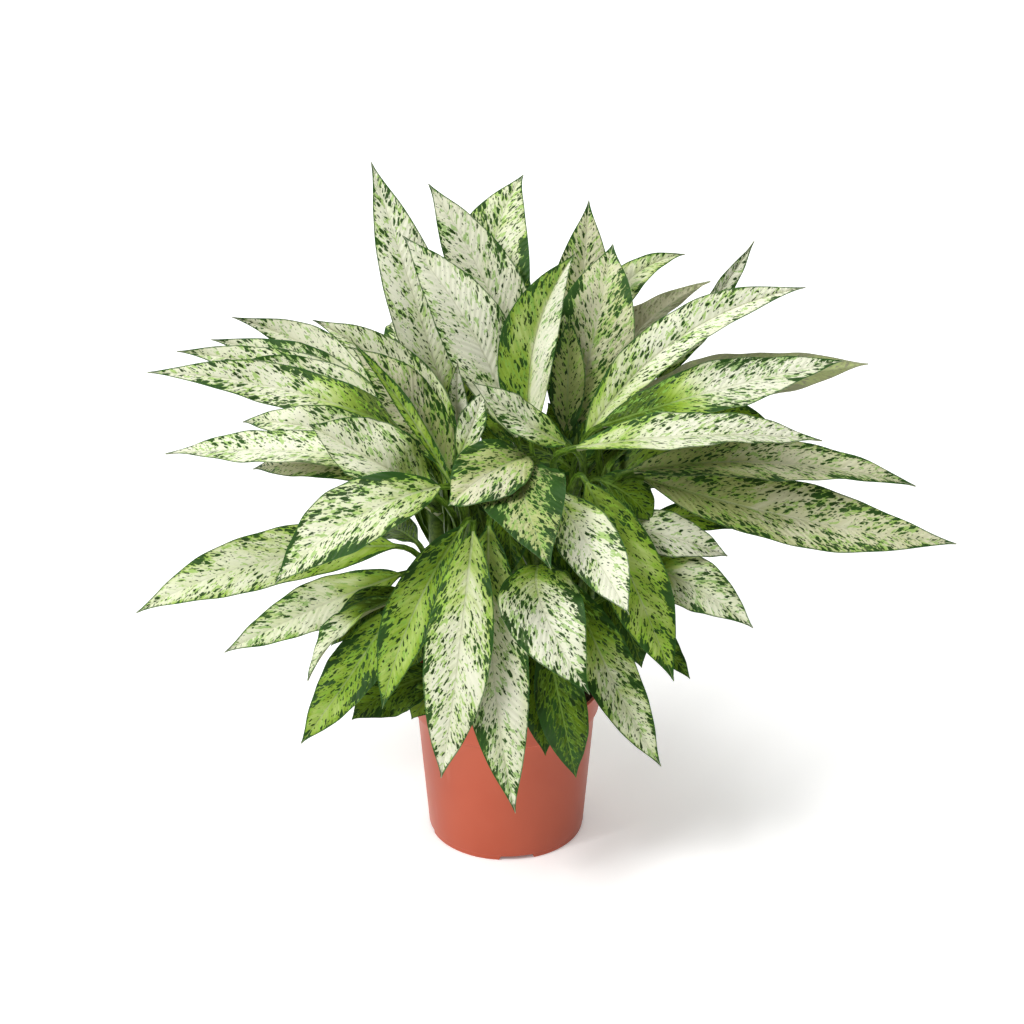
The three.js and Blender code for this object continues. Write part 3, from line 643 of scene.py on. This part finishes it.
def pot_profile():
    """The pot's section from the middle of its underside, up outside and down inside."""
    h, band = POT["height"], POT["rim_band"]
    foot, shoulder, rim = POT["foot_radius"], POT["shoulder_radius"], POT["rim_radius"]
    wall, low = POT["wall"], POT["foot_height"]
    band_foot = h - band
    outline = [
        (0, 0),
        (POT["pad_radius"] - 0.6, 0),
        (POT["pad_radius"], 0.6),
        (POT["pad_radius"], low - 0.3),
        (POT["pad_radius"] + 0.5, low),
        (foot - POT["foot_width"] - 0.4, low),
        (foot - POT["foot_width"], low - 0.5),
        (foot - POT["foot_width"], 0.5),
        (foot - POT["foot_width"] + 0.4, 0),
        (foot - 1.2, 0),
        (foot - 0.35, 0.4),
        (foot, 1.3),
        (foot + 0.35, low - 0.2),
        (foot + 0.35, low),
        (foot + 0.75, low + 0.5),
        (foot + 0.9, low + 1.2),
    ]
    for k in range(1, 9):
        share = k / 9
        r = foot + 0.9 + (shoulder - 1 - foot - 0.9) * share
        outline.append((r, low + 1.2 + (band_foot - 4 - low) * share))
    outline += [
        (shoulder - 0.9, band_foot - 2.6),
        (shoulder - 0.4, band_foot - 1.6),
        (shoulder + 1.6, band_foot - 0.5),
        (shoulder + 2.4, band_foot + 0.1),
        (shoulder + 2.8, band_foot + 1.2),
    ]
    for k in range(1, 6):
        share = k / 6
        r = shoulder + 2.8 + (rim - 1.4 - shoulder - 2.8) * share
        outline.append((r, band_foot + 1.2 + (band - 5) * share))
    outline += [
        (rim - 1.2, h - 3.6),
        (rim - 0.4, h - 2.9),
        (rim, h - 1.9),
        (rim - 0.1, h - 0.8),
        (rim - 0.7, h - 0.1),
        (rim - 1.6, h),
        (rim - 1 - wall + 0.4, h),
        (rim - 1 - wall, h - 0.6),
        (rim - 1.6 - wall, h - 3),
        (shoulder + 1.5 - wall, band_foot),
        (shoulder - 1.5 - wall, band_foot - 3),
        (foot - wall + 0.6, low + wall),
        (0, low + wall),
    ]
    return outline


def notched(r, z, angle):
    """Lifts the foot ring's underside over each drain notch."""
    pitch = 360 / NOTCH["count"]
    off = (math.degrees(angle) - NOTCH["first_angle"] + pitch / 2) % pitch - pitch / 2
    inside = abs(math.radians(off)) * POT["foot_radius"] < NOTCH["width"] / 2
    if inside and r > POT["foot_radius"] - POT["foot_width"] - 1 and z < NOTCH["height"]:
        return r, NOTCH["height"] + z * 0.05
    return r, z


def soil_piece(material):
    rng = random.Random(5)
    inner = POT["shoulder_radius"] - 1.5 - POT["wall"] - SOIL["clear"]
    rows, columns = 46, 150
    points = [(0, 0, SOIL["top"] + SOIL["mound"])]
    for i in range(1, rows + 1):
        share = i / rows
        r = (inner + 2) * share
        for k in range(columns):
            angle = 2 * math.pi * k / columns
            x, y = r * math.cos(angle), r * math.sin(angle)
            z = SOIL["top"] + SOIL["mound"] * (1 - float(smooth(0.35, 1.0, share))) - 1.5 * share**6
            z += SOIL["lumps"] * math.sin(x * 0.13 + 1) * math.cos(y * 0.17) * (1 - share**4)
            z += rng.uniform(-0.7, 0.9)
            points.append((x, y, z))
    faces = [(0, 1 + k, 1 + (k + 1) % columns) for k in range(columns)]
    for i in range(rows - 1):
        for k in range(columns):
            a, b = 1 + i * columns + k, 1 + i * columns + (k + 1) % columns
            faces.append((a, a + columns, b + columns, b))
    last = 1 + (rows - 1) * columns
    base = len(points)
    below = (inner, POT["height"] - POT["rim_band"] - 3)
    lowest = POT["foot_radius"] - POT["wall"] - SOIL["clear"]
    for r, z in (below, (lowest, POT["foot_height"] + POT["wall"] + SOIL["clear"])):
        for k in range(columns):
            angle = 2 * math.pi * k / columns
            points.append((r * math.cos(angle), r * math.sin(angle), z))
    for top, low in ((last, base), (base, base + columns)):
        for k in range(columns):
            n = (k + 1) % columns
            faces.append((top + k, low + k, low + n, top + n))
    faces.append(tuple(base + columns + k for k in reversed(range(columns))))
    # bark chips lie pressed into the surface
    for _ in range(SOIL["chips"]):
        radius = inner * 0.97 * math.sqrt(rng.random())
        angle = rng.uniform(0, 2 * math.pi)
        x, y = radius * math.cos(angle), radius * math.sin(angle)
        z = SOIL["top"] + SOIL["mound"] * (1 - float(smooth(0.35, 1.0, radius / (inner + 2))))
        z += SOIL["lumps"] * math.sin(x * 0.13 + 1) * math.cos(y * 0.17)
        size = rng.uniform(1.2, 4.2)
        turn, lean = rng.uniform(0, 6.28), rng.uniform(-0.5, 0.5)
        start = len(points)
        for level in (-1, 1):
            for k in range(5):
                a = turn + 2 * math.pi * k / 5 + rng.uniform(-0.3, 0.3)
                reach = size * rng.uniform(0.7, 1.1) * (0.85 if level > 0 else 1)
                dx, dy = reach * math.cos(a) * 1.5, reach * math.sin(a)
                points.append((x + dx, y + dy, z + level * size * 0.28 + dx * lean + 0.4))
        faces += [tuple(start + k for k in (4, 3, 2, 1, 0)), tuple(start + 5 + k for k in range(5))]
        for k in range(5):
            n = (k + 1) % 5
            faces.append((start + k, start + n, start + 5 + n, start + 5 + k))
    return mesh_piece("soil_fill", points, faces, material, nodes=["soil"], sharp=30)


# ---- materials --------------------------------------------------------------------------


class Nodes:
    """Short names for building a material's nodes."""

    def __init__(self, name):
        self.material = bpy.data.materials.new(name)
        self.material.use_nodes = True
        self.tree = self.material.node_tree
        self.shader = self.tree.nodes["Principled BSDF"]
        self.output = self.tree.nodes["Material Output"]

    def new(self, kind, **settings):
        node = self.tree.nodes.new(kind)
        for key, value in settings.items():
            setattr(node, key, value)
        return node

    def put(self, socket, value):
        if isinstance(value, bpy.types.NodeSocket):
            self.tree.links.new(value, socket)
        elif isinstance(value, (tuple, list)) and len(value) == 3 and socket.type == "RGBA":
            socket.default_value = (*value, 1)
        else:
            socket.default_value = value

    def math(self, operation, a, b=0.0, clamp=False):
        node = self.new("ShaderNodeMath", operation=operation, use_clamp=clamp)
        self.put(node.inputs[0], a)
        self.put(node.inputs[1], b)
        return node.outputs[0]

    def add(self, a, b):
        return self.math("ADD", a, b)

    def sub(self, a, b):
        return self.math("SUBTRACT", a, b)

    def mul(self, a, b, clamp=False):
        return self.math("MULTIPLY", a, b, clamp)

    def ramp(self, value, low, high, to_low=0.0, to_high=1.0):
        node = self.new("ShaderNodeMapRange", interpolation_type="SMOOTHSTEP")
        for socket, v in zip(node.inputs[:5], (value, low, high, to_low, to_high)):
            self.put(socket, v)
        return node.outputs[0]

    def blend(self, share, a, b, mode="MIX"):
        node = self.new("ShaderNodeMix", data_type="RGBA", blend_type=mode)
        self.put(node.inputs[0], share)
        self.put(node.inputs[6], a)
        self.put(node.inputs[7], b)
        return node.outputs[2]

    def attribute(self, name):
        node = self.new("ShaderNodeAttribute", attribute_name=name)
        parts = self.new("ShaderNodeSeparateXYZ")
        self.put(parts.inputs[0], node.outputs["Vector"])
        return node.outputs["Vector"], parts.outputs[0], parts.outputs[1], parts.outputs[2]

    def vector(self, x, y, z):
        node = self.new("ShaderNodeCombineXYZ")
        for socket, v in zip(node.inputs, (x, y, z)):
            self.put(socket, v)
        return node.outputs[0]

    def noise(self, vector, scale=1.0, detail=2.0, roughness=0.5, distortion=0.0):
        node = self.new("ShaderNodeTexNoise")
        self.put(node.inputs["Vector"], vector)
        node.inputs["Scale"].default_value = scale
        node.inputs["Detail"].default_value = detail
        node.inputs["Roughness"].default_value = roughness
        node.inputs["Distortion"].default_value = distortion
        return node.outputs[0]

    def wobble(self, vector):
        """A ragged shift to add to a vector."""
        warp = self.new("ShaderNodeTexNoise", noise_dimensions="2D")
        self.put(warp.inputs["Vector"], vector)
        warp.inputs["Scale"].default_value, warp.inputs["Detail"].default_value = 1.3, 2.0
        return warp.outputs["Color"]

    def spots(self, vector, wobble, ragged=0.9):
        """Distance to the nearest of scattered spots, and a number of its own for each spot."""
        shift = self.new("ShaderNodeVectorMath", operation="MULTIPLY_ADD")
        self.put(shift.inputs[0], wobble)
        shift.inputs[1].default_value = (ragged, ragged, 0)
        self.put(shift.inputs[2], vector)
        cells = self.new("ShaderNodeTexVoronoi", voronoi_dimensions="2D", feature="F1")
        self.put(cells.inputs["Vector"], shift.outputs[0])
        cells.inputs["Scale"].default_value = 1.0
        parts = self.new("ShaderNodeSeparateColor")
        self.put(parts.inputs[0], cells.outputs["Color"])
        return cells.outputs["Distance"], parts.outputs[0]

    def bump(self, height, strength, distance):
        node = self.new("ShaderNodeBump")
        node.inputs["Strength"].default_value = strength
        node.inputs["Distance"].default_value = distance
        self.put(node.inputs["Height"], height)
        self.put(self.shader.inputs["Normal"], node.outputs[0])
        return node.outputs[0]


def leaf_material():
    """Cream to olive ground, partly painted shade, green flecks along the side veins, a green edge
    and a pale rib.
    """
    n = Nodes("variegated_leaf")
    _, run, out, seed = n.attribute("vein")
    _, share, reach, half = n.attribute("place")
    _, tone, flecks, margin = n.attribute("looks")
    _, under, foot, own = n.attribute("extras")
    _, drab_and_shade, _, _ = n.attribute("drab_and_shade_mix")

    # coordinates stretched along the side veins: "run" changes from vein to vein
    def along_veins(by_run, by_out, place):
        spot = n.mul(seed, place)
        along = n.add(n.mul(run, by_run), spot)
        across = n.add(n.mul(out, by_out), n.mul(spot, 0.43))
        return n.vector(along, across, 0.0)

    cloud_at = n.vector(n.mul(run, 34.0), n.mul(out, 30.0), n.mul(seed, 23.0))
    streak_at = n.vector(n.mul(run, 190.0), n.mul(out, 60.0), n.mul(seed, 31.0))
    wash_at = n.vector(n.mul(run, 170.0), n.mul(out, 150.0), n.mul(seed, 47.0))
    cloud = n.noise(cloud_at, 1.0, 1.0, 0.5)
    streak = n.noise(streak_at, 1.0, 2.0, 0.6)
    wash = n.noise(wash_at, 1.0, 2.5, 0.6, 0.3)
    large_at = along_veins(130.0, 150.0, 700.0)
    wobble = n.wobble(large_at)
    large, large_size = n.spots(large_at, wobble)
    small, small_size = n.spots(along_veins(260.0, 270.0, 910.0), wobble, 1.2)

    # nearness to the margin, 0 at the midrib side and 1 at the edge
    edge = n.ramp(reach, 0.45, 1.0)
    tip = n.ramp(share, 0.86, 1.0)
    base = n.ramp(share, 0.55, 0.0)
    near_rib = n.ramp(reach, 0.16, 0.02)

    # dark flecks crowd together towards the margin and the tip
    crowd = n.ramp(cloud, 0.40, 0.64, 0.05, 1.0)
    patch = n.mul(n.mul(n.add(n.mul(edge, 0.50), n.mul(tip, 0.35)), margin), crowd)
    density = n.add(n.mul(flecks, 0.20), n.mul(n.sub(cloud, 0.5), 0.55))
    density = n.sub(n.add(density, patch), n.mul(near_rib, 0.12))
    reach_large = n.add(n.sub(n.mul(large_size, 0.34), 0.16), density)
    reach_small = n.add(n.sub(n.mul(small_size, 0.34), 0.17), density)
    dark = n.ramp(n.sub(reach_large, large), 0.0, 0.05)
    specks = n.ramp(n.sub(reach_small, small), 0.0, 0.08)
    halo = n.ramp(n.sub(reach_large, large), -0.22, 0.0)
    washed = n.ramp(n.add(n.sub(wash, 0.60), n.mul(density, 0.28)), -0.012, 0.035)

    # a thin green line along the very edge
    inset = n.mul(n.sub(1.0, reach), half)
    edging = n.ramp(n.add(inset, n.mul(n.sub(streak, 0.5), 0.22)), 0.17, 0.07)
    tip_dark = n.ramp(n.add(share, n.mul(n.sub(streak, 0.5), 0.08)), 0.955, 0.985)

    # ground colour: cream, through lime, to olive; on leaves deep in the crown the olive end is
    # partly painted shade
    green = n.add(tone, n.mul(base, foot))
    green = n.add(green, n.mul(n.sub(streak, 0.5), 0.34))
    green = n.add(green, n.mul(n.sub(cloud, 0.5), 0.60))
    green = n.add(green, n.mul(n.ramp(reach, 0.55, 1.0), 0.16))
    ground = n.new("ShaderNodeValToRGB")
    n.put(ground.inputs[0], green)
    stops = ground.color_ramp
    stops.elements[0].position, stops.elements[0].color = 0.0, (0.80, 0.81, 0.64, 1)
    stops.elements[1].position, stops.elements[1].color = 1.0, (0.060, 0.115, 0.003, 1)
    for position, colour in (
        (0.24, (0.70, 0.745, 0.48, 1)),
        (0.40, (0.46, 0.585, 0.17, 1)),
        (0.60, (0.255, 0.40, 0.035, 1)),
        (0.80, (0.135, 0.235, 0.008, 1)),
    ):
        stops.elements.new(position).color = colour
    # painted shade: the ground is dulled towards a drab grey-olive, partly the leaf's own drab
    # colour and partly painted shade
    colour = n.blend(n.mul(drab_and_shade, 0.55), ground.outputs[0], (0.50, 0.47, 0.27), "MIX")

    # side veins show as faint lines
    vein_wave = n.math("FRACT", n.add(n.mul(run, 125.0), n.mul(n.sub(cloud, 0.5), 1.2)))
    vein_line = n.ramp(n.math("ABSOLUTE", n.sub(vein_wave, 0.5)), 0.09, 0.0)
    colour = n.blend(n.mul(vein_line, 0.14), colour, (0.35, 0.42, 0.14), "MIX")

    # green washes: fresh green blotches, and a rim of it round the dark flecks
    blotch = n.blend(own, (0.27, 0.50, 0.040), (0.21, 0.42, 0.075))
    colour = n.blend(n.mul(halo, 0.22), colour, blotch)
    colour = n.blend(n.mul(washed, n.ramp(tone, 0.4, 1.0, 0.70, 0.22)), colour, blotch)
    leaf_green = n.blend(n.ramp(cloud, 0.35, 0.7), (0.011, 0.032, 0.003), (0.026, 0.080, 0.011))
    colour = n.blend(n.mul(specks, 0.90), colour, leaf_green)
    colour = n.blend(n.mul(dark, 0.98), colour, leaf_green)
    colour = n.blend(n.mul(edging, 0.85), colour, (0.030, 0.100, 0.016))
    colour = n.blend(n.mul(tip_dark, 0.9), colour, (0.03, 0.095, 0.02))

    # the midrib is a narrow groove, paler than the blade on green leaves
    rib_width = n.ramp(share, 0.0, 0.95, 0.17, 0.045)
    rib = n.ramp(n.mul(reach, half), rib_width, n.mul(rib_width, 0.45))
    rib_colour = n.blend(n.ramp(green, 0.15, 0.85), (0.62, 0.64, 0.44), (0.20, 0.33, 0.06))
    colour = n.blend(n.mul(rib, 0.60), colour, rib_colour)

    # the lower face is duller, with the flecks showing through
    dull = n.blend(0.50, colour, (0.54, 0.52, 0.33))
    colour = n.blend(under, colour, dull)

    sideways = n.ramp(n.math("ABSOLUTE", n.sub(vein_wave, 0.5)), 0.0, 0.5)
    relief = n.add(n.mul(sideways, 0.55), n.mul(rib, -0.9))
    relief = n.add(relief, n.mul(cloud, 0.8))
    n.bump(relief, 0.55, 0.0011)
    shader = n.shader
    n.put(shader.inputs["Base Color"], colour)
    n.put(shader.inputs["Roughness"], n.ramp(streak, 0.3, 0.7, 0.42, 0.56))
    shader.inputs["Specular IOR Level"].default_value = 0.18
    shader.inputs["IOR"].default_value = 1.45
    glow = n.new("ShaderNodeBsdfTranslucent")
    n.put(glow.inputs["Color"], n.blend(0.5, colour, (0.45, 0.62, 0.10), "MULTIPLY"))
    mixed = n.new("ShaderNodeMixShader")
    mixed.inputs[0].default_value = 0.13
    n.put(mixed.inputs[1], shader.outputs[0])
    n.put(mixed.inputs[2], glow.outputs[0])
    n.put(n.output.inputs["Surface"], mixed.outputs[0])
    return n.material


def stem_material():
    n = Nodes("green_cane")
    _, run, out, seed = n.attribute("vein")
    _, share, _, _ = n.attribute("place")
    at = n.vector(n.mul(run, 160.0), n.mul(out, 420.0), n.mul(seed, 30.0))
    mottle = n.noise(at, 1.0, 3.0, 0.6)
    stalk = n.ramp(share, 1.6, 1.7)
    # the cane and stalk greens are dark, partly their own colour and partly painted shade of the
    # crown
    cane_green = n.blend(n.ramp(mottle, 0.35, 0.68), (0.040, 0.085, 0.008), (0.12, 0.19, 0.030))
    stalk_green = n.blend(n.ramp(mottle, 0.38, 0.66), (0.036, 0.085, 0.005), (0.12, 0.21, 0.020))
    colour = n.blend(stalk, cane_green, stalk_green)
    fine_at = n.vector(n.mul(run, 420.0), n.mul(out, 520.0), seed)
    spots = n.ramp(n.noise(fine_at, 1.0, 2.0), 0.60, 0.66)
    colour = n.blend(n.mul(spots, 0.65), colour, (0.018, 0.045, 0.004))
    n.put(n.shader.inputs["Base Color"], colour)
    n.shader.inputs["Roughness"].default_value = 0.42
    n.shader.inputs["Specular IOR Level"].default_value = 0.15
    n.bump(mottle, 0.3, 0.0006)
    return n.material


def pot_material():
    n = Nodes("terracotta_plastic")
    place = n.new("ShaderNodeTexCoord").outputs["Object"]
    parts = n.new("ShaderNodeSeparateXYZ")
    n.put(parts.inputs[0], place)
    grain = n.noise(place, 900.0, 2.0, 0.6)
    haze = n.noise(place, 16.0, 2.0, 0.5)
    colour = n.blend(n.ramp(haze, 0.3, 0.7), (0.445, 0.082, 0.037), (0.47, 0.094, 0.045))
    x, y, z = parts.outputs
    # paler streaks running up and down the pot
    pale_streaks = n.noise(n.vector(n.mul(x, 60.0), n.mul(y, 60.0), n.mul(z, 9.0)))
    colour = n.blend(n.mul(n.ramp(pale_streaks, 0.62, 0.75), 0.12), colour, (0.66, 0.30, 0.22))
    n.put(n.shader.inputs["Base Color"], colour)
    n.put(n.shader.inputs["Roughness"], n.ramp(haze, 0.3, 0.7, 0.36, 0.46))
    n.shader.inputs["Specular IOR Level"].default_value = 0.30
    n.bump(grain, 0.12, 0.0002)
    return n.material


def soil_material():
    n = Nodes("potting_mix")
    place = n.new("ShaderNodeTexCoord").outputs["Object"]
    crumbs = n.noise(place, 260.0, 4.0, 0.65)
    patches = n.noise(place, 45.0, 3.0, 0.6)
    colour = n.blend(n.ramp(crumbs, 0.35, 0.7), (0.018, 0.011, 0.007), (0.085, 0.050, 0.030))
    colour = n.blend(n.mul(n.ramp(patches, 0.5, 0.7), 0.5), colour, (0.12, 0.070, 0.040))
    n.put(n.shader.inputs["Base Color"], colour)
    n.shader.inputs["Roughness"].default_value = 0.92
    n.shader.inputs["Specular IOR Level"].default_value = 0.25
    n.bump(crumbs, 0.8, 0.0025)
    return n.material


# ---- the plant --------------------------------------------------------------------------

leaf_skin, stem_skin = leaf_material(), stem_material()
leaves = read_leaves(LEAVES)
place_roots(leaves)
frame_shifts(leaves)
sprigs = read_leaves(SPRIGS, len(leaves))
place_roots(sprigs)
for sprig in sprigs:
    sprig |= {"young": True, "node": "", "shifts": [(-1.0, 0.0), (1.0, 0.0)]}
leaves += sprigs
surfaces = [leaf_surface(leaf) for leaf in leaves]
for leaf, surface in zip(leaves, surfaces):
    leaf_piece(leaf, surface, leaf_skin)
for cane in CANES:
    cane_piece(cane, leaves, surfaces, stem_skin)

pot_points, pot_faces = lathe(pot_profile(), 288, notched)
mesh_piece("nursery_pot", pot_points, pot_faces, pot_material(), nodes=["pot"], sharp=32)
soil_piece(soil_material())

# ---- studio -----------------------------------------------------------------------------

CAMERA_AT = Vector((5.85, -2080, 1294.7)) * MM
CAMERA_PITCH = 24.6
CAMERA_LENS = 84.2


def area_light(name, place, aim, size, energy, colour=(1, 1, 1)):
    light = bpy.data.lights.new(name, "AREA")
    light.shape, light.size = "DISK", size
    light.energy, light.color = energy, colour
    lamp = bpy.data.objects.new(name, light)
    lamp.location = place
    lamp.rotation_mode = "QUATERNION"
    lamp.rotation_quaternion = (Vector(aim) - Vector(place)).to_track_quat("-Z", "Y")
    bpy.context.scene.collection.objects.link(lamp)


floor_mesh = bpy.data.meshes.new("floor")
floor_mesh.from_pydata([(-40, -40, 0), (40, -40, 0), (40, 40, 0), (-40, 40, 0)], [], [(0, 1, 2, 3)])
floor = bpy.data.objects.new("floor", floor_mesh)
bpy.context.scene.collection.objects.link(floor)
floor_nodes = Nodes("pale_floor")
floor_nodes.shader.inputs["Base Color"].default_value = (0.93, 0.93, 0.93, 1)
floor_nodes.shader.inputs["Roughness"].default_value = 0.9
floor_nodes.shader.inputs["Specular IOR Level"].default_value = 0.0
floor_nodes.shader.inputs["Emission Color"].default_value = (1, 1, 1, 1)
# the floor glows a little, more towards the back; the glow stops under the pot, which paints a
# shadow there
ground_at = floor_nodes.new("ShaderNodeNewGeometry").outputs["Position"]
ground_parts = floor_nodes.new("ShaderNodeSeparateXYZ")
floor_nodes.put(ground_parts.inputs[0], ground_at)
reach_out = floor_nodes.new("ShaderNodeVectorMath", operation="LENGTH")
floor_nodes.put(reach_out.inputs[0], ground_at)
glow = floor_nodes.ramp(ground_parts.outputs[1], 0.4, 2.4, 0.38, 0.80)
open_floor = floor_nodes.ramp(reach_out.outputs["Value"], 0.066, 0.082)
floor_nodes.put(floor_nodes.shader.inputs["Emission Strength"], floor_nodes.mul(glow, open_floor))
floor_mesh.materials.append(floor_nodes.material)

world = bpy.data.worlds.new("studio")
world.use_nodes = True
backdrop = world.node_tree.nodes["Background"]
backdrop.inputs["Strength"].default_value = 1
toward = world.node_tree.nodes.new("ShaderNodeTexCoord")
sides = world.node_tree.nodes.new("ShaderNodeSeparateXYZ")
shade = world.node_tree.nodes.new("ShaderNodeMapRange")
world.node_tree.links.new(toward.outputs["Generated"], sides.inputs[0])
world.node_tree.links.new(sides.outputs[0], shade.inputs["Value"])
# light comes from the left, and little from the right
for name, value in (("From Min", -0.5), ("From Max", 0.5), ("To Min", 0.80), ("To Max", 0.04)):
    shade.inputs[name].default_value = value
world.node_tree.links.new(shade.outputs[0], backdrop.inputs["Color"])
bpy.context.scene.world = world
bpy.context.scene.view_settings.view_transform = "Standard"

area_light("key", (-1.7, -1.8, 2.9), (0, 0, 0.35), 1.1, 74)
area_light("top", (0.1, 0.0, 2.9), (0, 0, 0.3), 1.3, 34)

camera_data = bpy.data.cameras.new("view")
camera_data.sensor_width, camera_data.lens = 36, CAMERA_LENS
camera_data.clip_end = 100
camera = bpy.data.objects.new("view", camera_data)
camera.location = CAMERA_AT
camera.rotation_euler = (math.radians(90 - CAMERA_PITCH), 0, 0)
bpy.context.scene.collection.objects.link(camera)
bpy.context.scene.camera = camera
